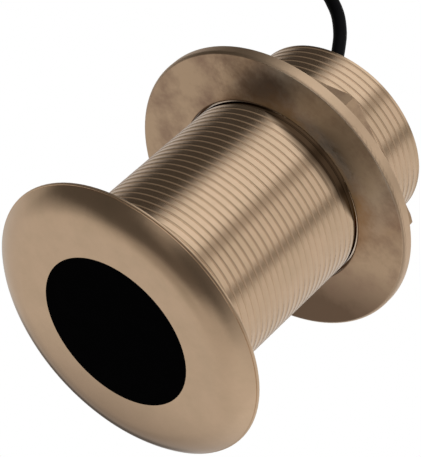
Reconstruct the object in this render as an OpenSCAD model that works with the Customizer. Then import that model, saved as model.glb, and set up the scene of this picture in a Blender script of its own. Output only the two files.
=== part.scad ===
// Through-hull sonar transducer: bronze housing, flanged hull nut, sounding element, cable and connector.
// Millimetres. The wet face lies on z = 0 and the stem stands up along +Z.

/* [Stem] */
// Outside diameter of the threaded stem
stem_d = 50.8; // [48:0.1:56]
// Height of the stem's end above the wet face
stem_h = 89.8; // [84:0.2:110]
// Distance from one thread to the next, twelve to the inch
pitch = 2.117; // [1.6:0.001:3]
// Depth of the thread
thread_depth = 0.28; // [0.2:0.02:0.8]
// Width of a thread groove at its mouth
groove_w = 1.1; // [0.7:0.05:1.4]
// Width of a thread groove at its root
root_w = 0.12; // [0.1:0.02:0.6]
// Plain band between the flange and the first groove
neck_h = 8.6; // [1:0.1:12]
// Chamfer on the stem's end
end_chamfer = 0.8; // [0.3:0.1:1.5]

/* [Flange] */
// Diameter of the flange
flange_d = 75.5; // [70:0.5:90]
// Height at which the flange's rim is widest
rim_z = 4.5; // [4:0.1:6]
// Edge radius of the rim
rim_r = 0.4; // [0.3:0.1:1.4]
// Radius of the domed edge between the flat face and the rim
dome_r = 13.4; // [12:0.2:17]

/* [Bore] */
// Diameter of the bore that holds the sounding element
bore_d = 42.8; // [42.4:0.1:44]
// Diameter of the opening in the wet face
window_d = 41.2; // [38:0.1:41.6]
// Thickness of the lip around the opening
lip_t = 3; // [2:0.1:4.5]
// Gap between the pieces that fill the bore and its wall
fit = 0.05; // [0.02:0.01:0.1]

/* [Hull nut] */
// Height of the nut's clamping face above the wet face
nut_z = 61.1; // [20:0.1:72]
// Diameter of the nut's flange
nut_d = 78.8; // [68:0.2:90]
// Thickness of the nut's flange
nut_flange_t = 3.4; // [2.6:0.1:5]
// Edge radius of the nut's flange
nut_edge_r = 0.9; // [0.4:0.1:1.2]
// Distance across the hub's flats
hub_af = 60.4; // [58:0.2:64]
// Height of the hub behind the flange
hub_h = 7.5; // [5:0.1:14]
// Angle of the hub's first corner from +X
hub_turn = 24.5; // [0:0.5:60]
// Width by which the hub's corners are turned down at the free end
hub_turned = 0.9; // [0.3:0.1:3]
// Width of the gap around the stem at the nut's mouth
mouth_gap = 0.55; // [0.3:0.05:1]
// Depth of the plain mouth
mouth_h = 1.2; // [0.6:0.1:2]
// Clearance between the threads of nut and stem
thread_fit = 0.1; // [0.05:0.01:0.2]

/* [Sounding element] */
// Thickness of the acoustic window
window_t = 6; // [5:0.1:8]
// Diameter of the ceramic disc
ceramic_d = 35; // [30:0.5:38]
// Thickness of the ceramic disc
ceramic_t = 7; // [4:0.1:9]
// Thickness of the cork behind the ceramic
backing_t = 4; // [2:0.1:6]
// Diameter of an inner lead
lead_d = 1; // [0.6:0.1:1.2]
// Distance of a lead from the ceramic's edge
lead_inset = 1.5; // [1:0.1:2]

/* [Electronics] */
// Diameter of the transformer's pot core
core_d = 26; // [20:0.5:28]
// Height of the closed pot core
core_h = 18; // [14:0.5:22]
// Wall of the pot core
core_wall = 2.2; // [1.6:0.1:3]
// Diameter of the pot core's middle post
post_d = 10; // [7:0.5:12]
// Wall of the winding's bobbin
bobbin_wall = 0.8; // [0.6:0.1:1]
// Epoxy between the cork and the pot core
core_gap = 4; // [2:0.5:6]
// Diameter of the circuit board
board_d = 37; // [34:0.5:40]
// Thickness of the circuit board
board_t = 1.6; // [1:0.1:2.4]
// Epoxy between the pot core and the board
board_gap = 8; // [5:0.5:10]
// Width, depth and height of the tuning capacitor
capacitor = [11, 7, 8];
// Distance of the capacitor from the board's middle
capacitor_y = 9; // [8:0.5:11]
// Diameter of a resistor
resistor_d = 2.4; // [1.8:0.1:3]
// Length of a resistor
resistor_l = 7; // [5:0.5:8]
// Distance from one resistor to the next
resistor_step = 4.5; // [3.5:0.5:6]

/* [Stem end] */
// Depth of the cap below the stem's end
cap_recess = 7; // [5:0.5:10]
// Thickness of the cap
cap_t = 4; // [3:0.1:6]
// Thickness of the cap's sealing ring
seal_d = 1.8; // [1.2:0.1:2.2]
// Height of the strain relief above the cap
relief_h = 13.6; // [10:0.2:16]
// Diameter of the strain relief's foot
relief_foot_d = 12; // [9:0.5:14]
// Thickness of the strain relief's foot
relief_foot_t = 1.6; // [1:0.1:2.4]
// Diameter of the strain relief's taper at the foot
relief_base_d = 8.6; // [7:0.2:9]
// Diameter of the strain relief's tip
relief_tip_d = 5.2; // [4.8:0.2:6]

/* [Cable] */
// Diameter of the cable
cable_d = 3.6; // [3:0.1:3.9]
// Diameter of the coil at the middle of its turns
coil_mid_d = 65; // [60:0.5:70]
// Width and height of the wound bundle
coil_w = 25.4; // [20:0.2:28]
// Corner radius of the wound bundle
coil_corner = 2; // [2:0.5:8]
// Width of a tie around the bundle
tie_w = 5; // [3:0.5:8]
// Thickness of a tie
tie_t = 0.9; // [0.6:0.1:1.2]
// Width of a tie's lock
lock_w = 7; // [5:0.5:9]
// Height of a tie's lock
lock_h = 3; // [2:0.2:4]

/* [Connector] */
// Length of the connector's boot
boot_l = 17; // [14:0.5:22]
// Diameter of the boot at the cable
boot_tip_d = 5.4; // [5:0.2:6]
// Diameter of the boot at the shell
boot_base_d = 11; // [9:0.5:13]
// Length of the boot's spigot inside the shell
spigot_l = 4; // [3:0.5:6]
// Diameter of the shell's grip
grip_d = 19; // [18:0.5:22]
// Length of the shell's grip
grip_l = 20; // [16:0.5:26]
// Edge radius of the shell's grip
grip_edge = 1.2; // [0.6:0.1:2]
// Number of flutes in the grip
flutes = 12; // [8:1:16]
// Radius of a flute
flute_r = 1.3; // [0.8:0.1:1.6]
// Plain end of the grip beside the flutes
flute_end = 3; // [2:0.5:5]
// Diameter of the shell's barrel
barrel_d = 14.8; // [14:0.2:16]
// Length of the shell's barrel
barrel_l = 18; // [16:0.5:22]
// Depth of the wall behind the contact insert
insert_floor = 2; // [1:0.5:4]
// Diameter of the contact insert
insert_d = 12.4; // [11:0.1:12.8]
// Length of the contact insert
insert_l = 11; // [8:0.5:13]
// Diameter of a contact pin
pin_d = 1.2; // [0.8:0.1:1.5]
// Diameter of the circle of outer pins
pin_circle_d = 7; // [6:0.2:8]
// Number of outer pins
pin_count = 6; // [4:1:8]
// Length of a pin in front of the insert
pin_l = 5; // [3:0.5:6]
// Diameter of the coupling ring
ring_d = 18.2; // [17.8:0.1:18.6]
// Length of the coupling ring
ring_l = 19.5; // [17:0.5:22]
// Length of the coupling ring's bearing on the barrel
bearing_l = 5; // [4:0.5:7]
// Clearance of the coupling ring on the barrel
ring_fit = 0.08; // [0.04:0.01:0.1]
// Clearance of the coupling ring between the grip and its clip
ring_play = 0.3; // [0.2:0.05:0.5]
// Edge radius of the coupling ring
ring_edge = 0.5; // [0.3:0.1:0.8]
// Gap between the barrel and the coupling ring's socket
socket_gap = 0.95; // [0.9:0.05:1.2]
// Number of knurls around the coupling ring
knurls = 20; // [12:2:28]
// Radius of a knurl
knurl_r = 0.7; // [0.4:0.1:0.8]
// Plain end of the coupling ring beside the knurls
knurl_end = 2; // [1:0.5:4]
// Thickness of the retaining clip
clip_t = 1; // [0.6:0.1:1.4]
// Depth of the grooves for the clip and for the sealing ring
groove_depth = 0.55; // [0.4:0.05:0.8]
// Height of the retaining clip above the barrel
clip_rise = 0.6; // [0.4:0.05:0.8]
// Thickness of the connector's sealing ring
plug_seal_d = 1.2; // [0.8:0.1:1.4]
// Distance of the sealing ring from the barrel's end
plug_seal_inset = 2.5; // [2:0.1:4]

/* [Hidden] */
$fn = 96;
eps = 1;
stem_r = stem_d / 2;
root_r = stem_r - thread_depth;
seat_z = rim_z + rim_r;
rim_x = flange_d / 2 - rim_r;
dome_x = rim_x - sqrt(pow(dome_r - rim_r, 2) - pow(dome_r - rim_z, 2));
thread_start = seat_z + neck_h + groove_w / 2;
thread_end = stem_h - end_chamfer - groove_w / 2;
grooves = [for (z = [thread_start:pitch:thread_end]) z];
flank = (groove_w - root_w) / 2 / thread_depth;

nut_r = nut_d / 2;
hub_z = nut_z + nut_flange_t;
nut_top = hub_z + hub_h;
hub_corner_r = hub_af / 2 / cos(30);
nut_major_r = stem_r + thread_fit;
nut_minor_r = root_r + thread_fit;
mouth_r = stem_r + mouth_gap;
mouth_top = nut_z + mouth_h + mouth_gap - thread_fit;
ridges = [for (z = grooves) if (z > mouth_top + groove_w && z < nut_top - mouth_gap - groove_w) z];

bore_r = bore_d / 2;
window_r = window_d / 2;
ceramic_z = window_t;
backing_z = ceramic_z + ceramic_t;
potting_z = backing_z + backing_t;
lead_x = ceramic_d / 2 - lead_inset;
core_z = potting_z + core_gap;
core_r = core_d / 2;
well_r = core_r - core_wall;
spool_in = post_d / 2 + fit;
spool_out = well_r - fit;
spool_z0 = core_z + core_wall + fit;
spool_z1 = core_z + core_h - core_wall - fit;
board_z = core_z + core_h + board_gap;
board_top = board_z + board_t;
resistor_y = -capacitor_y + resistor_step / 2;
cap_top = stem_h - cap_recess;
cap_z = cap_top - cap_t;
spigot_wall = 1;
spigot_r = relief_base_d / 2 - spigot_wall;
relief_ribs = 5;
boot_ribs = 6;

cable_r = cable_d / 2;
cable_sides = 12;
coil_x = -130;
coil_y = 12.5;
coil_mid_r = coil_mid_d / 2;
coil_top = tie_t + coil_w;
tie_angles = [-60, 60];
on_top = coil_top + cable_r + 4 * fit;
on_floor = tie_t + cable_r;
relief_x = -11;
arch_x = -33.5;
arch_top = stem_h + 29.8;
// From the cap up through the strain relief and over in an arch
rising = [
    [relief_x, 0, cap_z],
    [relief_x, 0, stem_h - 2],
    [relief_x, 0, stem_h + 5],
    [relief_x - 0.4, 0, stem_h + 9.8],
    [relief_x - 1.9, 0, stem_h + 14.6],
    [relief_x - 4.5, 0, stem_h + 19.4],
    [relief_x - 8.2, 0, stem_h + 24.3],
    [relief_x - 13.1, 0, stem_h + 27.9],
    [arch_x, 0, arch_top],
];
// From the arch's top (0) to the coil (1): shares of the way along X and along Y, and of the height left
drop = [
    [0.1, 0.02, 0.98],
    [0.21, 0.1, 0.92],
    [0.31, 0.22, 0.83],
    [0.4, 0.37, 0.7],
    [0.49, 0.52, 0.56],
    [0.58, 0.67, 0.42],
    [0.66, 0.8, 0.29],
    [0.74, 0.9, 0.17],
    [0.83, 0.97, 0.08],
    [0.92, 1, 0.02],
];
falling = [for (d = drop) [
    arch_x + d[0] * (coil_x - arch_x),
    d[1] * (coil_y - coil_mid_r),
    on_top + d[2] * (arch_top - on_top),
]];
// Round on the coil's top, one cable's width inwards
lap = 105;
lying = [for (a = [0:15:lap])
    let (r = coil_mid_r - cable_d * a / lap)
    [coil_x - r * sin(a), coil_y - r * cos(a), on_top]];
cable_route = concat(rising, falling, lying);

grip_r = grip_d / 2;
boot_x = coil_x + 32;
boot_y = coil_y + coil_mid_r + coil_w / 2 + cable_r + 2 * fit;
// From beside the coil up into the connector's boot
tail_route = [
    [coil_x, boot_y, on_floor],
    [coil_x + 7, boot_y, on_floor],
    [boot_x - 18, boot_y, on_floor + 0.9],
    [boot_x - 12, boot_y, on_floor + 2.9],
    [boot_x - 6, boot_y, grip_r - 1.5],
    [boot_x, boot_y, grip_r],
    [boot_x + 7, boot_y, grip_r],
    [boot_x + 15, boot_y, grip_r],
];

boot_bore_r = cable_r + fit;
boot_spigot_r = boot_base_d / 2 - spigot_wall;
barrel_r = barrel_d / 2;
barrel_z = boot_l + grip_l;
barrel_end = barrel_z + barrel_l;
insert_r = insert_d / 2;
insert_z = barrel_z + insert_floor;
insert_end = insert_z + insert_l;
ring_r = ring_d / 2;
ring_z = barrel_z + ring_play;
ring_bore_r = barrel_r + ring_fit;
socket_r = barrel_r + socket_gap;
clip_z = ring_z + bearing_l + ring_play;
clip_in_r = barrel_r - groove_depth;
clip_out_r = barrel_r + clip_rise;
plug_seal_z = barrel_end - plug_seal_inset;
plug_seal_r = barrel_r - groove_depth + plug_seal_d / 2;

bronze = "#b2987f";
black = "#1c1c1e";
cork = "#b98d5e";
copper = "#b66a3c";

// A shape that stands at a height on the stem's axis
module at_z(z) translate([0, 0, z]) children();

// A round disc from one height to another
module disc(r, z0, z1) at_z(z0) cylinder(r = r, h = z1 - z0);

// A round ring with square edges
module ring(r_in, r_out, z0, z1) {
    rotate_extrude() translate([r_in, z0]) square([r_out - r_in, z1 - z0]);
}

// A rubber ring of round section
module round_seal(r, d, z) rotate_extrude() translate([r, z]) circle(d = d);

// A square with round corners, centred
module soft_square(w, r) {
    square([w - 2 * r, w], center = true);
    square([w, w - 2 * r], center = true);
    for (x = [-1, 1], y = [-1, 1]) translate([x * (w / 2 - r), y * (w / 2 - r)]) circle(r);
}

// The section of a disc with round outer edges, standing on y = 0
module soft_disc_section(r, h, edge) {
    square([r - edge, h]);
    translate([0, edge]) square([r, h - 2 * edge]);
    for (y = [edge, h - edge]) translate([r - edge, y]) circle(edge);
}

function unit(v) = v / norm(v);
function heading(path, i) = unit(path[min(i + 1, len(path) - 1)] - path[max(i - 1, 0)]);
// The side vector of each point, carried along the route without a twist
function sides(path, i = 0, before = [0, 1, 0]) =
    let (t = heading(path, i), side = unit(before - (before * t) * t))
    i == len(path) - 1 ? [side] : concat([side], sides(path, i + 1, side));
function ring_at(centre, t, side, r, n) =
    [for (k = [0:n - 1]) centre + r * (cos(360 * k / n) * side + sin(360 * k / n) * cross(t, side))];

// A tube swept along a route
module swept_tube(path, r, n) {
    last = len(path) - 1;
    side = sides(path);
    points = [for (i = [0:last]) each ring_at(path[i], heading(path, i), side[i], r, n)];
    wall = [for (i = [0:last - 1], k = [0:n - 1])
        let (next = (k + 1) % n)
        [i * n + k, (i + 1) * n + k, (i + 1) * n + next, i * n + next]];
    start = [for (k = [0:n - 1]) k];
    end = [for (k = [n - 1:-1:0]) last * n + k];
    polyhedron(points, concat([start], wall, [end]));
}

// Half-width of the nut's ridge at a radius, inside the stem's groove
function ridge_half(r) = root_w / 2 + (r - root_r) * flank - thread_fit;

module flange_section() {
    square([dome_x, seat_z]);
    translate([rim_x, rim_z]) circle(rim_r);
    intersection() {
        translate([dome_x, dome_r]) circle(dome_r);
        square([rim_x, seat_z]);
    }
}

// The stem's section, with the thread as shallow rings at its true pitch
module stem_section() {
    thread = [for (z = grooves) each [
        [stem_r, z - groove_w / 2],
        [root_r, z - root_w / 2],
        [root_r, z + root_w / 2],
        [stem_r, z + groove_w / 2],
    ]];
    end = [[stem_r, stem_h - end_chamfer], [stem_r - end_chamfer, stem_h], [0, stem_h]];
    polygon(concat([[0, 0], [stem_r, 0]], thread, end));
}

module housing() {
    color(bronze)
        rotate_extrude()
            difference() {
                union() {
                    flange_section();
                    stem_section();
                }
                translate([0, -eps]) square([window_r, lip_t + 2 * eps]);
                translate([0, lip_t]) square([bore_r, stem_h]);
            }
}

// The room inside the nut: a plain mouth, then ridges that run in the stem's grooves
module nut_room() {
    thread = [for (z = ridges) each [
        [nut_major_r, z - ridge_half(nut_major_r)],
        [nut_minor_r, z - ridge_half(nut_minor_r)],
        [nut_minor_r, z + ridge_half(nut_minor_r)],
        [nut_major_r, z + ridge_half(nut_major_r)],
    ]];
    mouth = [
        [0, nut_z - eps],
        [mouth_r, nut_z - eps],
        [mouth_r, nut_z + mouth_h],
        [nut_major_r, mouth_top],
    ];
    back = [
        [nut_major_r, nut_top - mouth_gap],
        [mouth_r, nut_top],
        [mouth_r, nut_top + eps],
        [0, nut_top + eps],
    ];
    rotate_extrude() polygon(concat(mouth, thread, back));
}

// A hexagon whose corners are turned down at the free end
module hub() {
    corner = hub_corner_r + eps;
    face_r = hub_corner_r - hub_turned;
    turned = (corner - face_r) * tan(30);
    intersection() {
        rotate([0, 0, hub_turn]) cylinder(r = hub_corner_r, h = hub_h, $fn = 6);
        rotate_extrude()
            polygon([[0, 0], [corner, 0], [corner, hub_h - turned], [face_r, hub_h], [0, hub_h]]);
    }
}

module hull_nut() {
    color(bronze)
        difference() {
            union() {
                at_z(nut_z) rotate_extrude() soft_disc_section(nut_r, nut_flange_t, nut_edge_r);
                at_z(hub_z) hub();
            }
            nut_room();
        }
}

module acoustic_window() {
    color(black) {
        disc(window_r - fit, 0, lip_t + eps);
        disc(bore_r - fit, lip_t, window_t);
    }
}

module ceramic_disc() color("#d9d3c4") disc(ceramic_d / 2, ceramic_z, backing_z);

module cork_sleeve() color(cork) ring(ceramic_d / 2 + fit, bore_r - fit, ceramic_z, potting_z);

module cork_backing() {
    color(cork)
        difference() {
            disc(ceramic_d / 2, backing_z, potting_z);
            lead_pair(lead_d / 2 + fit, backing_z - eps, potting_z + eps);
        }
}

module lead_pair(r, z0, z1) {
    for (x = [-lead_x, lead_x]) translate([x, 0]) disc(r, z0, z1);
}

module signal_leads() color("#c23b32") lead_pair(lead_d / 2, backing_z, board_top + eps);

// One half of the pot core, open at the top
module pot_half() {
    rotate_extrude()
        difference() {
            square([core_r, core_h / 2]);
            translate([post_d / 2, core_wall]) square([well_r - post_d / 2, core_h]);
        }
}

module transformer_core_lower() color("#4a4a4d") at_z(core_z) pot_half();

module transformer_core_upper() color("#3f3f42") at_z(core_z + core_h) mirror([0, 0, 1]) pot_half();

module transformer_bobbin() {
    color("#e8e2d0")
        rotate_extrude()
            difference() {
                translate([spool_in, spool_z0]) square([spool_out - spool_in, spool_z1 - spool_z0]);
                translate([spool_in + bobbin_wall, spool_z0 + bobbin_wall])
                    square([spool_out, spool_z1 - spool_z0 - 2 * bobbin_wall]);
            }
}

module transformer_winding() {
    wall = bobbin_wall + fit;
    color(copper) ring(spool_in + wall, spool_out - fit, spool_z0 + wall, spool_z1 - wall);
}

module lead_row(r, z0, z1) {
    for (y = [-core_wall, core_wall]) translate([0, y]) disc(r, z0, z1);
}

module transformer_leads() color(copper) lead_row(lead_d / 2, core_z + core_h, board_z);

module circuit_board() {
    color("#2f6b3c")
        difference() {
            disc(board_d / 2, board_z, board_top);
            lead_pair(lead_d / 2 + fit, board_z - eps, board_top + eps);
        }
}

module capacitor_block(grow) {
    size = capacitor + [2 * grow, 2 * grow, grow];
    translate([0, capacitor_y, board_top + size[2] / 2]) cube(size, center = true);
}

module tuning_capacitor() color("#b8862d") capacitor_block(0);

module resistor_rods(grow) {
    for (y = [-1, 1])
        translate([0, resistor_y + y * resistor_step / 2, board_top + resistor_d / 2])
            rotate([0, 90, 0]) cylinder(d = resistor_d + 2 * grow, h = resistor_l + 2 * grow, center = true);
}

module board_resistors() color("#c9b48a") resistor_rods(0);

module cable_core(r, z0, z1) {
    for (y = [-lead_d, lead_d]) translate([relief_x, y]) disc(r, z0, z1);
}

module cable_leads() color("#3b62c2") cable_core(lead_d / 2, board_top, cap_z);

// Cast epoxy around everything between the cork and the cap
module potting() {
    color("#26221f")
        difference() {
            disc(bore_r - fit, potting_z, cap_z);
            lead_pair(lead_d / 2 + fit, potting_z - eps, board_top + eps + fit);
            disc(core_r + fit, core_z - fit, core_z + core_h + fit);
            lead_row(lead_d / 2 + fit, core_z, board_z + fit);
            disc(board_d / 2 + fit, board_z - fit, board_top + fit);
            capacitor_block(fit);
            resistor_rods(fit);
            cable_core(lead_d / 2 + fit, board_top, cap_z + eps);
        }
}

module end_cap() {
    seal_floor = bore_r - 2 * fit - seal_d;
    seal_room = seal_d + 4 * fit;
    seal_z = (cap_z + cap_top) / 2;
    color(black)
        difference() {
            disc(bore_r - fit, cap_z, cap_top);
            ring(seal_floor, bore_r + eps, seal_z - seal_room / 2, seal_z + seal_room / 2);
            translate([relief_x, 0]) disc(spigot_r + fit, cap_z - eps, cap_top + eps);
        }
}

module cap_seal() color("#2a2a2c") round_seal(bore_r - fit - seal_d / 2, seal_d, (cap_z + cap_top) / 2);

// A tapered sleeve with grooves that let it flex, from z = 0 up
module flexible_taper(base_r, tip_r, length, bore, ribs) {
    rib = length / ribs;
    cut = 0.4 * rib;
    function radius(z) = base_r + (tip_r - base_r) * z / length;
    difference() {
        polygon([[bore, 0], [base_r, 0], [tip_r, length], [bore, length]]);
        for (i = [1:ribs - 1])
            translate([(bore + radius(i * rib)) / 2, i * rib - cut]) square([base_r, cut]);
    }
}

module strain_relief() {
    bore = cable_r + fit;
    taper_l = relief_h - relief_foot_t;
    color(black)
        translate([relief_x, 0])
            rotate_extrude() {
                translate([bore, cap_z]) square([spigot_r - bore, cap_t + relief_foot_t]);
                translate([bore, cap_top]) square([relief_foot_d / 2 - bore, relief_foot_t]);
                translate([0, cap_top + relief_foot_t])
                    flexible_taper(relief_base_d / 2, relief_tip_d / 2, taper_l, bore, relief_ribs);
            }
}

module cable_tube() color(black) swept_tube(cable_route, cable_r, cable_sides);

module cable_coil() {
    color(black)
        translate([coil_x, coil_y])
            rotate_extrude() translate([coil_mid_r, tie_t + coil_w / 2]) soft_square(coil_w, coil_corner);
}

// A band around the bundle, with its lock on top
module coil_tie() {
    reach = coil_w + 2 * tie_t;
    intersection() {
        rotate_extrude()
            translate([coil_mid_r, tie_t + coil_w / 2])
                difference() {
                    soft_square(reach, coil_corner + tie_t);
                    soft_square(coil_w + 2 * fit, coil_corner + fit);
                }
        translate([coil_mid_r - reach, -tie_w / 2, -eps]) cube([2 * reach, tie_w, coil_w + 4 * eps]);
    }
    translate([coil_mid_r - lock_w / 2, -lock_w / 2, coil_top + fit]) cube([lock_w, lock_w, lock_h]);
}

module coil_ties() {
    color("#2b2b2d")
        for (a = tie_angles) translate([coil_x, coil_y]) rotate([0, 0, a]) coil_tie();
}

module cable_tail() color(black) swept_tube(tail_route, cable_r, cable_sides);

// The connector lies on its grip, pointing along +X
module along_connector() translate([boot_x, boot_y, grip_r]) rotate([0, 90, 0]) children();

module connector_boot() {
    color("#232325")
        along_connector()
            rotate_extrude() {
                translate([0, boot_l]) mirror([0, 1])
                    flexible_taper(boot_base_d / 2, boot_tip_d / 2, boot_l, boot_bore_r, boot_ribs);
                translate([boot_bore_r, boot_l - eps]) square([boot_spigot_r - boot_bore_r, spigot_l + eps]);
            }
}

module shell_section() {
    difference() {
        union() {
            translate([0, boot_l]) soft_disc_section(grip_r, grip_l, grip_edge);
            translate([0, barrel_z - eps]) square([barrel_r, barrel_l + eps]);
        }
        translate([0, boot_l - eps]) square([boot_spigot_r + fit, spigot_l + eps]);
        translate([0, insert_z]) square([insert_r, barrel_l]);
        translate([clip_in_r, clip_z - fit]) square([barrel_r, clip_t + 2 * fit]);
        translate([plug_seal_r - plug_seal_d / 2 - fit, plug_seal_z - plug_seal_d / 2 - fit])
            square([barrel_r, plug_seal_d + 2 * fit]);
    }
}

module connector_shell() {
    color("#1f1f22")
        along_connector()
            difference() {
                rotate_extrude() shell_section();
                for (i = [0:flutes - 1])
                    rotate([0, 0, (i + 0.5) * 360 / flutes])
                        translate([grip_r + flute_r / 2, 0])
                            disc(flute_r, boot_l + flute_end, barrel_z - flute_end);
            }
}

module pin_places() {
    children();
    for (i = [0:pin_count - 1])
        rotate([0, 0, i * 360 / pin_count]) translate([pin_circle_d / 2, 0]) children();
}

module contact_insert() {
    color("#3a3a3c")
        along_connector()
            difference() {
                disc(insert_r - fit, insert_z, insert_end);
                pin_places() disc(pin_d / 2 + fit, insert_z - eps, insert_end + eps);
            }
}

module contact_pins() {
    tip = pin_d / 4;
    color("#d4a84b")
        along_connector()
            pin_places()
                rotate_extrude()
                    polygon([
                        [0, insert_z],
                        [pin_d / 2, insert_z],
                        [pin_d / 2, insert_end + pin_l - tip],
                        [pin_d / 2 - tip, insert_end + pin_l],
                        [0, insert_end + pin_l],
                    ]);
}

module coupling_ring() {
    ring_end = ring_z + ring_l;
    color("#2a2a2d")
        along_connector()
            difference() {
                rotate_extrude()
                    difference() {
                        translate([0, ring_z]) soft_disc_section(ring_r, ring_l, ring_edge);
                        translate([0, ring_z - eps]) square([ring_bore_r, ring_l]);
                        translate([0, ring_z + bearing_l]) square([socket_r, ring_l]);
                    }
                for (i = [0:knurls - 1])
                    rotate([0, 0, i * 360 / knurls])
                        translate([ring_r + knurl_r / 2, 0])
                            disc(knurl_r, ring_z + knurl_end, ring_end - knurl_end);
            }
}

module retaining_clip() {
    color("silver")
        along_connector()
            difference() {
                ring(clip_in_r + fit, clip_out_r, clip_z, clip_z + clip_t);
                translate([0, -eps, clip_z - eps]) cube([grip_d, 2 * eps, clip_t + 2 * eps]);
            }
}

module connector_seal() color("#8a2f22") along_connector() round_seal(plug_seal_r, plug_seal_d, plug_seal_z);

housing();
hull_nut();
acoustic_window();
ceramic_disc();
cork_sleeve();
cork_backing();
signal_leads();
transformer_core_lower();
transformer_core_upper();
transformer_bobbin();
transformer_winding();
transformer_leads();
circuit_board();
tuning_capacitor();
board_resistors();
cable_leads();
potting();
end_cap();
cap_seal();
strain_relief();
cable_tube();
cable_coil();
coil_ties();
cable_tail();
connector_boot();
connector_shell();
contact_insert();
contact_pins();
coupling_ring();
retaining_clip();
connector_seal();
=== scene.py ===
# %% [markdown]
# # A bronze through-hull sonar transducer
#
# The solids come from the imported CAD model, already at their real size and place. This lesson adds
# what a solid can't carry: ten metres of wound cable, the finish of every material, and the studio.
# Lengths in the scene are metres, and the wet face of the transducer lies on the floor, at z = 0.

# %% Load the frame
import math

import bpy
from mathutils import Matrix, Vector


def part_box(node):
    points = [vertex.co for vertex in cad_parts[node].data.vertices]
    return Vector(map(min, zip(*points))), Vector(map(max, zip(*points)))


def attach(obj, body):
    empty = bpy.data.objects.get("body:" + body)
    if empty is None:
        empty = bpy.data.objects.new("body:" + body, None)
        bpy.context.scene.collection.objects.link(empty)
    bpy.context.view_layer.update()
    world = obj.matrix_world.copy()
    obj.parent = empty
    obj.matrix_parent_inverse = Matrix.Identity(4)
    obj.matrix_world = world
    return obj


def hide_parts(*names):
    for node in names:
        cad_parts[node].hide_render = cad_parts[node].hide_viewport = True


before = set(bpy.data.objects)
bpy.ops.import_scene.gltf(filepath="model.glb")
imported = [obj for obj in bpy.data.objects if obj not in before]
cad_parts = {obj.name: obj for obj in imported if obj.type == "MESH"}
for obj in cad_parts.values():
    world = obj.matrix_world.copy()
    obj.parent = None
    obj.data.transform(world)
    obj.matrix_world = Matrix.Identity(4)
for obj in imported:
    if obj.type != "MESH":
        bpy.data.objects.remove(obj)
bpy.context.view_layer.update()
bpy.ops.object.select_all(action="DESELECT")
MM = 0.001

# %% [markdown]
# ## The camera
#
# The photograph was taken from in front of the wet face and tilted, so here the camera stands below
# the floor and looks up. Its place, tilt and lens were fitted to the outlines of flange, window, nut
# and stem end. A long lens far away keeps the ellipses as flat as they are in the photograph.

# %% Camera
rise = math.radians(36.3)
roll = math.radians(48.0)
camera_place = Vector((-0.00305, -0.44985, -0.29030))
lens_mm, sensor_mm = 183.1, 36
level_right = Vector((1, 0, 0))
level_up = Vector((0, -math.sin(rise), math.cos(rise)))
looking = Vector((0, math.cos(rise), math.sin(rise)))
camera_right = math.cos(roll) * level_right + math.sin(roll) * level_up
camera_up = -math.sin(roll) * level_right + math.cos(roll) * level_up

bpy.ops.object.camera_add()
camera = bpy.context.object
camera.name = "photo_camera"
axes = Matrix((camera_right, camera_up, -looking)).transposed()
camera.matrix_world = Matrix.Translation(camera_place) @ axes.to_4x4()
camera.data.sensor_width = sensor_mm
camera.data.lens = lens_mm
bpy.context.scene.camera = camera
print("camera looks along", [round(v, 3) for v in looking], "through a", lens_mm, "mm lens")

# %% [markdown]
# ## The cable
#
# The photograph shows the first few centimetres of a cable that is about ten metres long on the real
# thing. A bevelled curve is the natural way to draw one, because its length can be measured and its
# bends stay round. It leaves the strain relief upwards, arches over, and goes down to a coil beside
# the transducer. The first and last stretch repeat the route of the CAD model.

# %% The cable's route
cable_radius = 1.8 * MM
# The route is written in millimetres, and turned to metres at its end.
coil_x, coil_y, on_top = -130, 12.5, 28.3
lap_radius = 32.5
rising = [
    (-11, 0, 82), (-11, 0, 87.8), (-11, 0, 94.8), (-11.4, 0, 99.6), (-12.9, 0, 104.4),
    (-15.5, 0, 109.2), (-19.2, 0, 114.1), (-24.1, 0, 117.7), (-33.5, 0, 119.6),
]
arch_x, _, arch_z = rising[-1]
# Shares of the way from the arch to the coil along X and along Y, and of the height that is left
drop = [
    (0.1, 0.02, 0.98), (0.21, 0.1, 0.92), (0.31, 0.22, 0.83), (0.4, 0.37, 0.7), (0.49, 0.52, 0.56),
    (0.58, 0.67, 0.42), (0.66, 0.8, 0.29), (0.74, 0.9, 0.17), (0.83, 0.97, 0.08), (0.92, 1, 0.02),
]
falling = [(arch_x + x * (coil_x - arch_x), y * (coil_y - lap_radius), on_top + z * (arch_z - on_top))
           for x, y, z in drop]
into_connector = [
    (-130, 59.6, 2.7), (-123, 59.6, 2.7), (-116, 59.6, 3.6), (-110, 59.6, 5.6), (-104, 59.6, 8),
    (-98, 59.6, 9.5), (-91, 59.6, 9.5), (-83, 59.6, 9.5),
]
route_start = [Vector(p) * MM for p in rising + falling]
route_end = [Vector(p) * MM for p in into_connector]
print("route:", len(route_start), "points to the coil and", len(route_end), "into the connector")

# %% [markdown]
# ### The coil
#
# A neat coil is wound in layers, as thread is on a spool. Each turn keeps its radius and height for
# most of the way round and steps to the next place in the last part, one cable diameter further out,
# in or down. So no turn runs through another, and the whole length is really there.

# %% Wind the coil
columns, rows = 7, 7
turn_pitch = 3.6 * MM
inner_radius = 21.7 * MM
lowest = 2.7 * MM
lap_degrees = 105
first_angle, steps, straight_share = -240, 16, 0.6
places = []
for row in reversed(range(rows)):
    outwards = row % 2 == 0
    row_columns = list(range(columns)) if outwards else list(reversed(range(columns)))
    if row == rows - 1:
        row_columns = row_columns[2:]
    places += [(inner_radius + c * turn_pitch, lowest + row * turn_pitch) for c in row_columns]


def on_coil(angle, radius, height):
    """A point of the coil, with its angle in degrees from +X."""
    a = math.radians(angle)
    return Vector((coil_x * MM + radius * math.cos(a), coil_y * MM + radius * math.sin(a), height))


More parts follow.
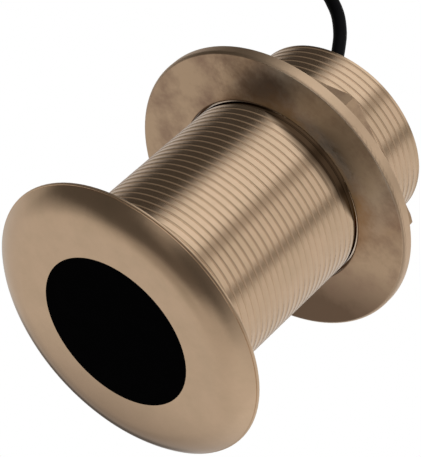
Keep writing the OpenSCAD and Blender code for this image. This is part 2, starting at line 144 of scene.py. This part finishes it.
def eased(t):
    """0 up to 1 with a soft start and end."""
    t = min(max(t, 0), 1)
    return t * t * (3 - 2 * t)


# At first the cable lies on top of the coil, comes in by one turn's width and goes down to the top row.
lying = [on_coil(-90 - turn, lap_radius * MM - turn_pitch * turn / lap_degrees, on_top * MM)
         for turn in range(0, lap_degrees + 1, 15)]
dip = [on_coil(angle, places[0][0], places[0][1] + (1 - eased(t)) * 4 * MM)
       for angle, t in ((-206, 0.2), (-218, 0.5), (-230, 0.8))]
turns = []
for number, (radius, height) in enumerate(places):
    next_radius, next_height = places[min(number + 1, len(places) - 1)]
    for step in range(steps):
        share = step / steps
        change = eased((share - straight_share) / (1 - straight_share))
        turns.append(on_coil(first_angle - 360 * (number + share),
                             radius + change * (next_radius - radius),
                             height + change * (next_height - height)))
outer = places[-1][0]
leave = [on_coil(angle, outer + wider * MM, lowest) for angle, wider in ((120, 0), (110, 0.9), (100, 2.6))]
cable_points = route_start + lying + dip + turns + leave + route_end
print("coil:", len(places), "turns,", len(cable_points), "points")

# %% [markdown]
# ### The curve
#
# One Bezier spline runs through all the points, and automatic handles keep it smooth. The bevel gives
# it its thickness, and the curve then becomes a mesh, so that its box can be measured.

# %% Draw the cable
cable_curve = bpy.data.curves.new("cable", "CURVE")
cable_curve.dimensions = "3D"
cable_curve.resolution_u = 4
cable_curve.bevel_depth = cable_radius
cable_curve.bevel_resolution = 3
cable_curve.use_fill_caps = True
spline = cable_curve.splines.new("BEZIER")
spline.bezier_points.add(len(cable_points) - 1)
for knot, place in zip(spline.bezier_points, cable_points):
    knot.co = place
    knot.handle_left_type = knot.handle_right_type = "AUTO"
cable = bpy.data.objects.new("cable", cable_curve)
bpy.context.collection.objects.link(cable)
bpy.context.view_layer.objects.active = cable
cable.select_set(True)
bpy.ops.object.convert(target="MESH")
bpy.ops.object.select_all(action="DESELECT")
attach(cable, "housing")
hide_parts("cable_tube", "cable_coil", "cable_tail")
on_the_cable = ["coil_ties", "connector_boot", "connector_shell", "contact_insert", "contact_pins",
                "coupling_ring", "retaining_clip", "connector_seal"]
cable_length = sum((b - a).length for a, b in zip(cable_points, cable_points[1:]))
print("cable:", round(cable_length, 2), "m between its points")

# %% [markdown]
# ## Materials
#
# Every finish is made of nodes on Object coordinates, which here are metres of the real part. Four
# helpers do the repeated work: one turns a hex colour to linear, one adds a node, one starts a
# material, and one puts a material on pieces of the CAD model.

# %% Material helpers
def linear(hex_colour):
    """An sRGB hex colour as linear red, green, blue and alpha."""
    parts = [int(hex_colour[i:i + 2], 16) / 255 for i in (1, 3, 5)]
    return [p / 12.92 if p <= 0.04045 else ((p + 0.055) / 1.055) ** 2.4 for p in parts] + [1]


def add_node(tree, kind, inputs={}, **settings):
    """Add one node with its settings, and fill or link its inputs."""
    node = tree.nodes.new("ShaderNode" + kind)
    for name, value in settings.items():
        setattr(node, name, value)
    for name, value in inputs.items():
        if isinstance(value, bpy.types.NodeSocket):
            tree.links.new(value, node.inputs[name])
        else:
            node.inputs[name].default_value = value
    return node


def new_material(name, **sockets):
    """A material with its node tree, its shader and the place on the piece in metres."""
    material = bpy.data.materials.new(name)
    material.use_nodes = True
    tree = material.node_tree
    shader = tree.nodes["Principled BSDF"]
    for socket, value in sockets.items():
        shader.inputs[socket.replace("_", " ")].default_value = value
    place = add_node(tree, "TexCoord").outputs["Object"]
    return material, tree, shader, place


def dress(material, *names):
    """Put a material on CAD nodes."""
    for name in names:
        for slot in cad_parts[name].material_slots:
            slot.material = material
    print(material.name, "on", ", ".join(names))


# %% [markdown]
# ### Turned bronze
#
# The housing is cast in bronze and turned on a lathe, then left satin. Bronze is a metal, so its
# colour sits in its reflections, and a low roughness keeps the bands of light on the stem apart. Faint
# blotches come from the casting, and a fine grain from the abrasive that takes the shine off. One side
# of the flange is painted darker, in a dull bronze: that is painted shade. Wear has rounded the crests
# of the thread, so their light runs on into the grooves and leaves only fine lines: there the shader's
# normal points straight out from the axis.

# %% Bronze helpers
bronze_bright, bronze_deep = "#d2b699", "#cab093"


def bronze_skin(tree, place, normal):
    """The colour, the fine relief and the grit of turned bronze."""
    blotch = add_node(tree, "TexNoise", {"Vector": place, "Scale": 1 / (8 * MM), "Detail": 6,
                                         "Roughness": 0.65})
    share = add_node(tree, "MapRange", {"Value": blotch.outputs["Fac"], "From Min": 0.4, "From Max": 0.7})
    colour = add_node(tree, "Mix", {"Factor": share.outputs["Result"], "A": linear(bronze_bright),
                                    "B": linear(bronze_deep)}, data_type="RGBA")
    # Real grit marks are under 0.1 mm; they are drawn at 0.7 mm so that they show in the render.
    grit = add_node(tree, "TexNoise", {"Vector": place, "Scale": 1 / (0.7 * MM), "Detail": 3,
                                       "Roughness": 0.7})
    relief = add_node(tree, "Bump", {"Height": grit.outputs["Fac"], "Normal": normal, "Strength": 0.15,
                                     "Distance": 0.03 * MM})
    return colour.outputs["Result"], relief.outputs["Normal"], grit.outputs["Fac"]


def on_lathe(tree, place):
    """The way out from the stem's axis, the distance from it and the height above the wet face."""
    flat = add_node(tree, "VectorMath", {0: place, 1: (1, 1, 0)}, operation="MULTIPLY")
    from_axis = add_node(tree, "VectorMath", {0: flat.outputs["Vector"]}, operation="LENGTH")
    outward = add_node(tree, "VectorMath", {0: flat.outputs["Vector"]}, operation="NORMALIZE")
    height = add_node(tree, "SeparateXYZ", {"Vector": place})
    return outward.outputs["Vector"], from_axis.outputs["Value"], height.outputs["Z"]


print("bronze:", bronze_bright, "to", bronze_deep)

# %% Turned bronze
# The flange's darker side is painted shade, in a dull bronze colour.
flange_shade_colour, flange_shade_side = "#8f7863", (0.5, 0.866, 0)
worn_from, worn_to = 25.22 * MM, 25.3 * MM
flange_top, stem_foot = 6 * MM, 8 * MM

turned_bronze, tree, shader, place = new_material("turned_bronze", Metallic=1)
outward, from_axis, height = on_lathe(tree, place)
on_stem = add_node(tree, "Math", {0: height, 1: stem_foot}, operation="GREATER_THAN")
worn = add_node(tree, "MapRange", {"Value": from_axis, "From Min": worn_from, "From Max": worn_to,
                                   "To Max": on_stem.outputs["Value"]})
as_turned = add_node(tree, "NewGeometry").outputs["Normal"]
rounded = add_node(tree, "Mix", {"Factor": worn.outputs["Result"], "A": as_turned, "B": outward},
                   data_type="VECTOR")
colour, relief, grit = bronze_skin(tree, place, rounded.outputs["Result"])
# Painted shade: the flange darkens towards one side.
on_flange = add_node(tree, "Math", {0: height, 1: flange_top}, operation="LESS_THAN")
side = add_node(tree, "VectorMath", {0: place, 1: flange_shade_side}, operation="DOT_PRODUCT")
flange_shade_share = add_node(tree, "MapRange", {"Value": side.outputs["Value"], "From Min": 8 * MM, "From Max": 40 * MM,
                                     "To Max": on_flange.outputs["Value"]}, interpolation_type="SMOOTHSTEP")
skin = add_node(tree, "Mix", {"Factor": flange_shade_share.outputs["Result"], "A": colour, "B": linear(flange_shade_colour)},
                data_type="RGBA")
rough = add_node(tree, "MapRange", {"Value": grit, "To Min": 0.16, "To Max": 0.24})
tree.links.new(rough.outputs["Result"], shader.inputs["Roughness"])
tree.links.new(relief, shader.inputs["Normal"])
dress(turned_bronze, "housing")

# %% [markdown]
# ### Painted shade on the stem
#
# The stem is painted dark below the nut, most of it on one side: that is painted shade and reflection
# of the nut. The nut's real shade and reflection come out broader here, so they are painted instead. The
# shade reaches down from the nut by 0.7 mm, and by up to 7 mm on the side at 275 degrees from +X. A dark
# tint keeps it from shining white at its edge.

# %% Painted shade on the stem
# Painted shade below the nut: its colour, and the side where it reaches furthest.
stem_shade_colour, stem_shade_side = "#4a3a2b", (0.087, -0.996, 0)
least_reach, most_reach, narrowing = 0.7, 7, 24
nut_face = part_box("hull_nut")[0].z

near = add_node(tree, "VectorMath", {0: outward, 1: stem_shade_side}, operation="DOT_PRODUCT")
reach = add_node(tree, "Math", {0: near.outputs["Value"], 1: narrowing, 2: most_reach - narrowing},
                 operation="MULTIPLY_ADD")
reach = add_node(tree, "Math", {0: reach.outputs["Value"], 1: least_reach}, operation="MAXIMUM")
from_nut = add_node(tree, "Math", {0: height, 1: 1 / MM, 2: -nut_face / MM}, operation="MULTIPLY_ADD")
depth = add_node(tree, "Math", {0: from_nut.outputs["Value"], 1: reach.outputs["Value"]}, operation="DIVIDE")
below_nut = add_node(tree, "Math", {0: height, 1: nut_face + 0.5 * MM}, operation="LESS_THAN")
painted_shade_share = add_node(tree, "MapRange", {"Value": depth.outputs["Value"], "From Min": -1, "From Max": -0.36,
                                     "To Max": below_nut.outputs["Value"]}, interpolation_type="SMOOTHSTEP")
# Painted shade: the stem is darkened below the nut, and its specular tint darkens with it.
skin = add_node(tree, "Mix", {"Factor": painted_shade_share.outputs["Result"], "A": skin.outputs["Result"],
                              "B": linear(stem_shade_colour)}, data_type="RGBA")
edge = add_node(tree, "Mix", {"Factor": painted_shade_share.outputs["Result"], "A": linear("#ffffff"),
                              "B": linear(stem_shade_colour)}, data_type="RGBA")
tree.links.new(skin.outputs["Result"], shader.inputs["Base Color"])
tree.links.new(edge.outputs["Result"], shader.inputs["Specular Tint"])
print("grease on the stem:", least_reach, "to", most_reach, "mm down from the nut")

# %% [markdown]
# ### Cast bronze
#
# Only the edge of the nut is machined. The rest is left as it came out of the sand, a little darker
# and duller, with stains of purple brown. The distance from the axis tells the two finishes apart, so
# one material does both. One side of the face is painted a darker brown: that is painted shade.

# %% Cast bronze
# The last colour is painted shade, on one side of the nut's face.
cast_colour, cast_stain, nut_shade_colour = "#c9ae91", "#a0846f", "#755f4c"
nut_shade_side = (0.6, 0.8, 0)
nut_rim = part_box("hull_nut")[1].x
cast_to, machined_from = nut_rim - 0.7 * MM, nut_rim - 0.5 * MM

cast_bronze, tree, shader, place = new_material("cast_bronze", Metallic=1)
outward, from_axis, height = on_lathe(tree, place)
# The machined edge looks sharp: the shader's normal points straight out there, also when the nut turns.
outward = add_node(tree, "VectorTransform", {"Vector": outward}, vector_type="NORMAL",
                   convert_from="OBJECT", convert_to="WORLD")
machined = add_node(tree, "MapRange", {"Value": from_axis, "From Min": cast_to, "From Max": machined_from})
as_moulded = add_node(tree, "NewGeometry").outputs["Normal"]
sharp = add_node(tree, "Mix", {"Factor": machined.outputs["Result"], "A": as_moulded,
                               "B": outward.outputs["Vector"]}, data_type="VECTOR")
colour, relief, _ = bronze_skin(tree, place, sharp.outputs["Result"])
as_cast = add_node(tree, "MapRange", {"Value": from_axis, "From Min": machined_from, "From Max": cast_to})
stains = add_node(tree, "TexNoise", {"Vector": place, "Scale": 1 / (12 * MM), "Detail": 6, "Roughness": 0.68})
stained = add_node(tree, "MapRange", {"Value": stains.outputs["Fac"], "From Min": 0.42, "From Max": 0.68})
cast = add_node(tree, "Mix", {"Factor": stained.outputs["Result"], "A": linear(cast_colour),
                              "B": linear(cast_stain)}, data_type="RGBA")
# The stains also make the borders ragged, by up to 4 mm.
ragged = add_node(tree, "MapRange", {"Value": stains.outputs["Fac"], "From Min": 0.3, "From Max": 0.7,
                                     "To Min": 4 * MM, "To Max": -4 * MM})
# Painted shade: the face turns a darker brown towards one side.
side = add_node(tree, "VectorMath", {0: place, 1: nut_shade_side}, operation="DOT_PRODUCT")
side = add_node(tree, "Math", {0: side.outputs["Value"], 1: ragged.outputs["Result"]}, operation="ADD")
nut_shade_share = add_node(tree, "MapRange", {"Value": side.outputs["Value"], "From Min": 12 * MM, "From Max": 28 * MM})
cast = add_node(tree, "Mix", {"Factor": nut_shade_share.outputs["Result"], "A": cast.outputs["Result"],
                              "B": linear(nut_shade_colour)}, data_type="RGBA")
dress(cast_bronze, "hull_nut")

# %% [markdown]
# ### Painted reflection and shade on the nut
#
# Beside the shaded side the face is painted greyer, dark in one place and dark around the stem. All of
# it is painted reflection and shade: a greyer layer, thicker towards the stem, where less of the metal
# shows through, a dark patch of painted shade, and painted shade in the mouth around the stem.

# %% Painted reflection and shade on the nut
# Colours of the painted reflection and shade on the face and in the mouth.
pale_painted_tone, brown_painted_tone, stained_painted_tone, painted_shade_brown = "#cdc6ba", "#b8956d", "#a3968a", "#57412d"
dark_patch_place = (-21 * MM, -24 * MM, nut_face)
mouth_from, mouth_to = 26.3 * MM, 26.05 * MM

across = add_node(tree, "SeparateXYZ", {"Vector": place})
aside = add_node(tree, "Math", {0: across.outputs["X"]}, operation="ABSOLUTE")
on_face = add_node(tree, "Math", {0: height, 1: nut_face + 1.1 * MM}, operation="LESS_THAN")
middle = add_node(tree, "MapRange", {"Value": aside.outputs["Value"], "From Min": 26 * MM,
                                     "From Max": 18 * MM, "To Max": on_face.outputs["Value"]})
# Painted reflection and shade: beside the stem the face is painted greyer, then browner and less metallic
# towards the stem.
painted_shade_share = add_node(tree, "MapRange", {"Value": across.outputs["Y"], "From Min": -8 * MM, "From Max": -18 * MM,
                                     "To Max": middle.outputs["Result"]})
outwards = add_node(tree, "Math", {0: from_axis, 1: ragged.outputs["Result"]}, operation="ADD")
thinner = add_node(tree, "MapRange", {"Value": outwards.outputs["Value"], "From Min": 26 * MM,
                                      "From Max": 33 * MM})
painted_tone = add_node(tree, "Mix", {"Factor": stained.outputs["Result"], "A": linear(pale_painted_tone),
                              "B": linear(stained_painted_tone)}, data_type="RGBA")
painted_shade = add_node(tree, "Mix", {"Factor": thinner.outputs["Result"], "A": linear(brown_painted_tone),
                                "B": painted_tone.outputs["Result"]}, data_type="RGBA")
cast = add_node(tree, "Mix", {"Factor": painted_shade_share.outputs["Result"], "A": cast.outputs["Result"],
                              "B": painted_shade.outputs["Result"]}, data_type="RGBA")
less_metal = add_node(tree, "MapRange", {"Value": thinner.outputs["Result"], "To Min": painted_shade_share.outputs["Result"],
                                      "To Max": 0})
bare = add_node(tree, "MapRange", {"Value": less_metal.outputs["Result"], "To Min": 1, "To Max": 0.35})
# A dark patch of painted shade, about as broad as a thumb
from_dark_patch = add_node(tree, "VectorMath", {0: place, 1: dark_patch_place}, operation="DISTANCE")
from_dark_patch = add_node(tree, "Math", {0: from_dark_patch.outputs["Value"], 1: ragged.outputs["Result"]},
                      operation="ADD")
darkened = add_node(tree, "MapRange", {"Value": from_dark_patch.outputs["Value"], "From Min": 13 * MM,
                                      "From Max": 3 * MM, "To Max": 0.7})
cast = add_node(tree, "Mix", {"Factor": darkened.outputs["Result"], "A": cast.outputs["Result"],
                              "B": linear(painted_shade_brown)}, data_type="RGBA")
skin = add_node(tree, "Mix", {"Factor": as_cast.outputs["Result"], "A": colour, "B": cast.outputs["Result"]},
                data_type="RGBA")
# Painted shade in the mouth, between the nut's bore and the stem.
in_mouth = add_node(tree, "MapRange", {"Value": from_axis, "From Min": mouth_from, "From Max": mouth_to})
skin = add_node(tree, "Mix", {"Factor": in_mouth.outputs["Result"], "A": skin.outputs["Result"],
                              "B": linear(painted_shade_brown)}, data_type="RGBA")
tree.links.new(skin.outputs["Result"], shader.inputs["Base Color"])
tree.links.new(bare.outputs["Result"], shader.inputs["Metallic"])
print("grease on the nut: smeared at", [round(v / MM, 1) for v in dark_patch_place], "mm")

# %% [markdown]
# ### Sand marks on the nut
#
# The sand of the mould leaves fine pits, except on the machined edge, and the hub is rougher than the
# face. The photograph shows no broad image of the nut on the stem, so reflections pass the nut by.

# %% Sand marks on the nut
on_hub = add_node(tree, "MapRange", {"Value": height, "From Min": nut_face + 3.3 * MM,
                                     "From Max": nut_face + 3.7 * MM, "To Min": 0.38, "To Max": 0.6})
rough = add_node(tree, "MapRange", {"Value": as_cast.outputs["Result"], "To Min": 0.4,
                                    "To Max": on_hub.outputs["Result"]})
sand = add_node(tree, "TexNoise", {"Vector": place, "Scale": 1 / (1.4 * MM), "Detail": 4, "Roughness": 0.6})
depth = add_node(tree, "Math", {0: sand.outputs["Fac"], 1: as_cast.outputs["Result"]}, operation="MULTIPLY")
pitted = add_node(tree, "Bump", {"Height": depth.outputs["Value"], "Normal": relief, "Strength": 0.35,
                                 "Distance": 0.05 * MM})
tree.links.new(rough.outputs["Result"], shader.inputs["Roughness"])
tree.links.new(pitted.outputs["Normal"], shader.inputs["Normal"])
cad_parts["hull_nut"].visible_glossy = False
print("sand marks on all of the nut but its edge")

# %% [markdown]
# ### Black urethane, rubber and moulded plastics
#
# The acoustic window is cast urethane: smooth, almost without colour and with little gloss. Plastics
# and rubbers differ from it in colour, roughness and in the fine texture that their moulds leave. One
# helper makes them all from those few facts.

# %% Moulded finishes
def moulded(name, colour, lighter, roughness, texture_mm, relief_mm, gloss=0.5):
    """A plastic, rubber or ceramic with faint mottling and the fine relief of its mould."""
    material, tree, shader, place = new_material(name, Roughness=roughness, Specular_IOR_Level=gloss)
    mottle = add_node(tree, "TexNoise", {"Vector": place, "Scale": 1 / (6 * texture_mm * MM), "Detail": 4})
    mixed = add_node(tree, "Mix", {"Factor": mottle.outputs["Fac"], "A": linear(colour),
                                   "B": linear(lighter)}, data_type="RGBA")
    relief = add_node(tree, "TexNoise", {"Vector": place, "Scale": 1 / (texture_mm * MM), "Detail": 2})
    bump = add_node(tree, "Bump", {"Height": relief.outputs["Fac"], "Strength": 0.5,
                                   "Distance": relief_mm * MM})
    tree.links.new(mixed.outputs["Result"], shader.inputs["Base Color"])
    tree.links.new(bump.outputs["Normal"], shader.inputs["Normal"])
    return material


dress(moulded("cast_urethane", "#010101", "#030304", 0.5, 0.8, 0.02, gloss=0.003), "acoustic_window")
cable_jacket = moulded("pvc_cable_jacket", "#050506", "#08080a", 0.5, 0.6, 0.03, gloss=0.05)
cable.data.materials.append(cable_jacket)
# The photograph doesn't show the coil in the flange's edge, so reflections pass the cable by too.
for piece in [cable] + [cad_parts[n] for n in on_the_cable]:
    piece.visible_glossy = False
dress(moulded("moulded_nylon_cap", "#17171a", "#1d1d20", 0.5, 0.5, 0.04, gloss=0.35), "end_cap")
dress(moulded("moulded_rubber", "#131314", "#19191a", 0.65, 0.5, 0.04, gloss=0.25),
      "cap_seal", "strain_relief", "connector_boot")
dress(moulded("red_silicone", "#7c2418", "#8c2c1e", 0.5, 0.4, 0.02), "connector_seal")
dress(moulded("nylon_tie", "#1a1a1c", "#212124", 0.4, 0.5, 0.02, gloss=0.4), "coil_ties")
dress(moulded("glass_filled_nylon", "#161618", "#1d1d20", 0.45, 0.4, 0.05, gloss=0.4),
      "connector_shell", "coupling_ring", "contact_insert")

# %% [markdown]
# ### Inside the housing
#
# The sounding element and its electronics are sealed in, so no view shows them. They still get the
# finish of what they are made of, for a cut-away view.

# %% Inner pieces
dress(moulded("silvered_ceramic", "#d6d0c2", "#c6bfae", 0.35, 0.5, 0.01), "ceramic_disc")
dress(moulded("pressed_cork", "#8d6238", "#c39a68", 0.9, 0.6, 0.2), "cork_sleeve", "cork_backing")
dress(moulded("ground_ferrite", "#3e3e41", "#48484c", 0.4, 0.3, 0.02),
      "transformer_core_lower", "transformer_core_upper")
dress(moulded("phenolic_bobbin", "#d8cfb4", "#cbc1a4", 0.5, 0.5, 0.02), "transformer_bobbin")
dress(moulded("enamelled_copper", "#a85a2c", "#b66a38", 0.3, 0.3, 0.05),
      "transformer_winding", "transformer_leads")
dress(moulded("solder_mask", "#1f5a33", "#27663c", 0.35, 0.5, 0.02), "circuit_board")
dress(moulded("dipped_coating", "#b07f2e", "#bb8a38", 0.35, 0.5, 0.02), "tuning_capacitor", "board_resistors")
dress(moulded("wire_insulation", "#a02c25", "#ab352d", 0.45, 0.3, 0.01), "signal_leads", "cable_leads")
dress(moulded("cast_epoxy", "#241f1c", "#2c2622", 0.3, 1.0, 0.03), "potting")

# %% [markdown]
# ### Bright metals of the connector
#
# The contact pins are plated with gold and the clip that holds the coupling ring is spring steel.
# Both are metals with a faint drawn grain along their length.

# %% Pins and clip
for name, colour, worn, roughness, node in (("gold_plate", "#e8bd62", "#d9a94e", 0.22, "contact_pins"),
                                            ("spring_steel", "#c9c8c6", "#b4b3b1", 0.3, "retaining_clip")):
    material, tree, shader, place = new_material(name, Metallic=1, Roughness=roughness)
    drawn = add_node(tree, "Mapping", {"Vector": place, "Scale": (200, 2500, 2500)})
    lines = add_node(tree, "TexNoise", {"Vector": drawn.outputs["Vector"], "Scale": 1, "Detail": 2})
    metal = add_node(tree, "Mix", {"Factor": lines.outputs["Fac"], "A": linear(colour), "B": linear(worn)},
                     data_type="RGBA")
    tree.links.new(metal.outputs["Result"], shader.inputs["Base Color"])
    dress(material, node)

# %% [markdown]
# ## The studio
#
# The background is white, so the world is white for the camera and for rays that mirror or pass
# through. Bronze would show that white all over, and the photograph's bronze doesn't, so a tent stands
# between them for reflections. The floor can be seen from above only, because the camera looks up
# from below it.

# %% White world
soft_light = 0.55
scene = bpy.context.scene
scene.view_settings.view_transform = "Standard"
world = bpy.data.worlds.new("studio")
scene.world = world
world.use_nodes = True
tree = world.node_tree
tree.nodes.clear()
path = add_node(tree, "LightPath")
seen = add_node(tree, "Math", {0: path.outputs["Is Camera Ray"], 1: path.outputs["Is Glossy Ray"]},
                operation="MAXIMUM")
seen = add_node(tree, "Math", {0: seen.outputs["Value"], 1: path.outputs["Is Transmission Ray"]},
                operation="MAXIMUM")
level = add_node(tree, "MapRange", {"Value": seen.outputs["Value"], "To Min": soft_light, "To Max": 1.0})
sky = add_node(tree, "Background", {"Color": (1, 1, 1, 1), "Strength": level.outputs["Result"]})
tree.links.new(sky.outputs["Background"], add_node(tree, "OutputWorld").inputs["Surface"])
print("world: white behind the part,", soft_light, "as soft light")

# %% Floor
bpy.ops.mesh.primitive_plane_add(size=3, location=(0, 0, -0.0005))
floor = bpy.context.object
floor.name = "floor"
floor_paint, tree, shader, place = new_material("floor_paint", Roughness=0.9, Specular_IOR_Level=0.1)
shader.inputs["Base Color"].default_value = linear("#f4f4f3")
side = add_node(tree, "NewGeometry")
clear = add_node(tree, "BsdfTransparent")
one_sided = add_node(tree, "MixShader", {"Fac": side.outputs["Backfacing"], 1: shader.outputs["BSDF"],
                                         2: clear.outputs["BSDF"]})
tree.links.new(one_sided.outputs["Shader"], tree.nodes["Material Output"].inputs["Surface"])
floor.data.materials.append(floor_paint)
floor.visible_glossy = floor.visible_diffuse = floor.visible_transmission = floor.visible_shadow = False
print("floor: seen from above only")

# %% [markdown]
# ### The light tent
#
# A photographer puts shiny metal in a tent of white cloth and hangs darker cloths in it, and the metal
# shows them as soft bands. This tent is a sphere around the part that only reflections see. Four
# ramps paint it by compass direction: above the horizon, in a belt just below it, which the flanks of
# the thread show as fine lines, towards the ground, and underneath. Each ramp holds a few cloths, hung
# so that the bands on stem and flange fall where the photograph has them. The darker a cloth is, the
# warmer its brown.

# %% Cloths
# Each cloth: its name, its edges in degrees of azimuth from +X, and its tone
cloths_above = [
    ("right wall", 336, 50, 0.77), ("back wall", 90, 131, 0.59), ("black flag", 154, 200, 0.07),
    ("key panel", 221, 261, 1.03), ("grey gap", 270, 277, 0.47), ("side panel", 284, 314, 0.83),
    ("dark strip", 321, 327, 0.27),
]
cloths_in_belt = [
    ("right wall", 342, 40, 0.78), ("grey gap", 84, 91, 0.5), ("back wall", 98, 125, 0.63),
    ("black flag", 167, 196, 0.23), ("key panel", 222, 258, 0.53), ("dark strip", 268, 280, 0.38),
    ("side panel", 290, 322, 0.48),
]
cloths_below = [
    ("right wall", 8, 35, 0.73), ("back wall", 60, 120, 0.67), ("black flag", 151, 206, 0.1),
    ("key panel", 231, 247, 0.67), ("dark mat", 262, 298, 0.21),
]
cloths_underneath = [
    ("right wall", 12, 67, 0.57), ("back wall", 90, 110, 0.37), ("black flag", 140, 195, 0.11),
    ("key panel", 228, 234, 0.27), ("dark mat", 252, 325, 0.1),
]
all_cloths = [cloths_above, cloths_in_belt, cloths_below, cloths_underneath]


def towards(azimuth, elevation):
    """The direction at an azimuth from +X and an elevation, in degrees."""
    a, e = math.radians(azimuth), math.radians(elevation)
    return Vector((math.cos(e) * math.cos(a), math.cos(e) * math.sin(a), math.sin(e)))


def painted_ramp(tree, turn, cloths):
    """A ramp of cloths around the compass with soft edges, closed where it meets itself at -X."""
    ramp = add_node(tree, "ValToRGB", {"Fac": turn})
    stops = sorted(((edge + 180) % 360 / 360, tone)
                   for name, start, end, tone in cloths for edge in (start, end))
    (first, tone_first), (last, tone_last) = stops[0], stops[-1]
    seam = tone_last + (tone_first - tone_last) * (1 - last) / (1 - last + first)
    places = [ramp.color_ramp.elements.new(position) for position, tone in stops]
    ends = [ramp.color_ramp.elements[0], ramp.color_ramp.elements[-1]]
    for place, tone in zip(places + ends, [tone for position, tone in stops] + [seam, seam]):
        place.color = (tone, tone * (0.9 + 0.1 * tone), tone * (0.8 + 0.2 * tone), 1)
    return ramp.outputs["Color"]


print("tent:", sum(len(cloths) for cloths in all_cloths), "cloths on", len(all_cloths), "ramps")

# %% Light tent
tent_radius = 2
nadir_tone, spot_tone, spot = "#655f5a", "#696561", towards(85, 10)
bpy.ops.object.select_all(action="DESELECT")
bpy.ops.mesh.primitive_uv_sphere_add(segments=64, ring_count=32, radius=tent_radius)
tent = bpy.context.object
tent.name = "light_tent"
cloth = bpy.data.materials.new("tent_cloth")
cloth.use_nodes = True
tree = cloth.node_tree
tree.nodes.clear()
place = add_node(tree, "TexCoord").outputs["Object"]
facing = add_node(tree, "VectorMath", {0: place}, operation="NORMALIZE").outputs["Vector"]
axis = add_node(tree, "SeparateXYZ", {"Vector": facing})
compass = add_node(tree, "Math", {0: axis.outputs["Y"], 1: axis.outputs["X"]}, operation="ARCTAN2")
turn = add_node(tree, "MapRange", {"Value": compass.outputs["Value"], "From Min": -math.pi,
                                   "From Max": math.pi})
above, belt, below, deep = [painted_ramp(tree, turn.outputs["Result"], cloths) for cloths in all_cloths]
# Heights in the tent are sines of the elevation. The belt's lower edge is tilted, down towards +X.
tilted = add_node(tree, "Math", {0: axis.outputs["X"], 1: 0.1, 2: axis.outputs["Z"]},
                  operation="MULTIPLY_ADD")
into_belt = add_node(tree, "MapRange", {"Value": tilted.outputs["Value"], "From Min": -0.45,
                                        "From Max": -0.31}, interpolation_type="SMOOTHSTEP")
past_belt = add_node(tree, "MapRange", {"Value": axis.outputs["Z"], "From Min": 0.08, "From Max": 0.34},
                     interpolation_type="SMOOTHSTEP")
under = add_node(tree, "MapRange", {"Value": axis.outputs["Z"], "From Min": -0.72, "From Max": -0.93},
                 interpolation_type="SMOOTHSTEP")
nadir = add_node(tree, "MapRange", {"Value": axis.outputs["Z"], "From Min": -0.95, "From Max": -0.995})
# A dark spot just above the horizon, which the flange's lower edge mirrors
to_spot = add_node(tree, "VectorMath", {0: facing, 1: spot}, operation="DOT_PRODUCT")
in_spot = add_node(tree, "MapRange", {"Value": to_spot.outputs["Value"], "From Min": 0.965,
                                      "From Max": 0.995}, interpolation_type="SMOOTHSTEP")
paint = below
for share, over in ((into_belt, belt), (past_belt, above), (under, deep), (nadir, linear(nadir_tone)),
                    (in_spot, linear(spot_tone))):
    paint = add_node(tree, "Mix", {"Factor": share.outputs["Result"], "A": paint, "B": over},
                     data_type="RGBA").outputs["Result"]
glow = add_node(tree, "Emission", {"Color": paint, "Strength": 1.0})
tree.links.new(glow.outputs["Emission"], add_node(tree, "OutputMaterial").inputs["Surface"])
tent.data.materials.append(cloth)
tent.visible_camera = tent.visible_diffuse = tent.visible_transmission = tent.visible_shadow = False
print("tent:", tent_radius, "m in radius, for reflections only")

# %% [markdown]
# ### Lamps
#
# Two large soft suns light the floor, the plastics and the rubber. Metal doesn't show them, because it
# has the tent to show.

# %% Lamps
for name, azimuth, elevation, strength, spread in (("key_lamp", 235, 40, 2.3, 25),
                                                   ("fill_lamp", 320, 15, 0.8, 60)):
    bpy.ops.object.light_add(type="SUN", location=towards(azimuth, elevation))
    lamp = bpy.context.object
    lamp.name = name
    lamp.data.energy = strength
    lamp.data.angle = math.radians(spread)
    lamp.rotation_euler = towards(azimuth, elevation).to_track_quat("Z", "Y").to_euler()
    lamp.visible_glossy = False
print("lamps: key and fill")
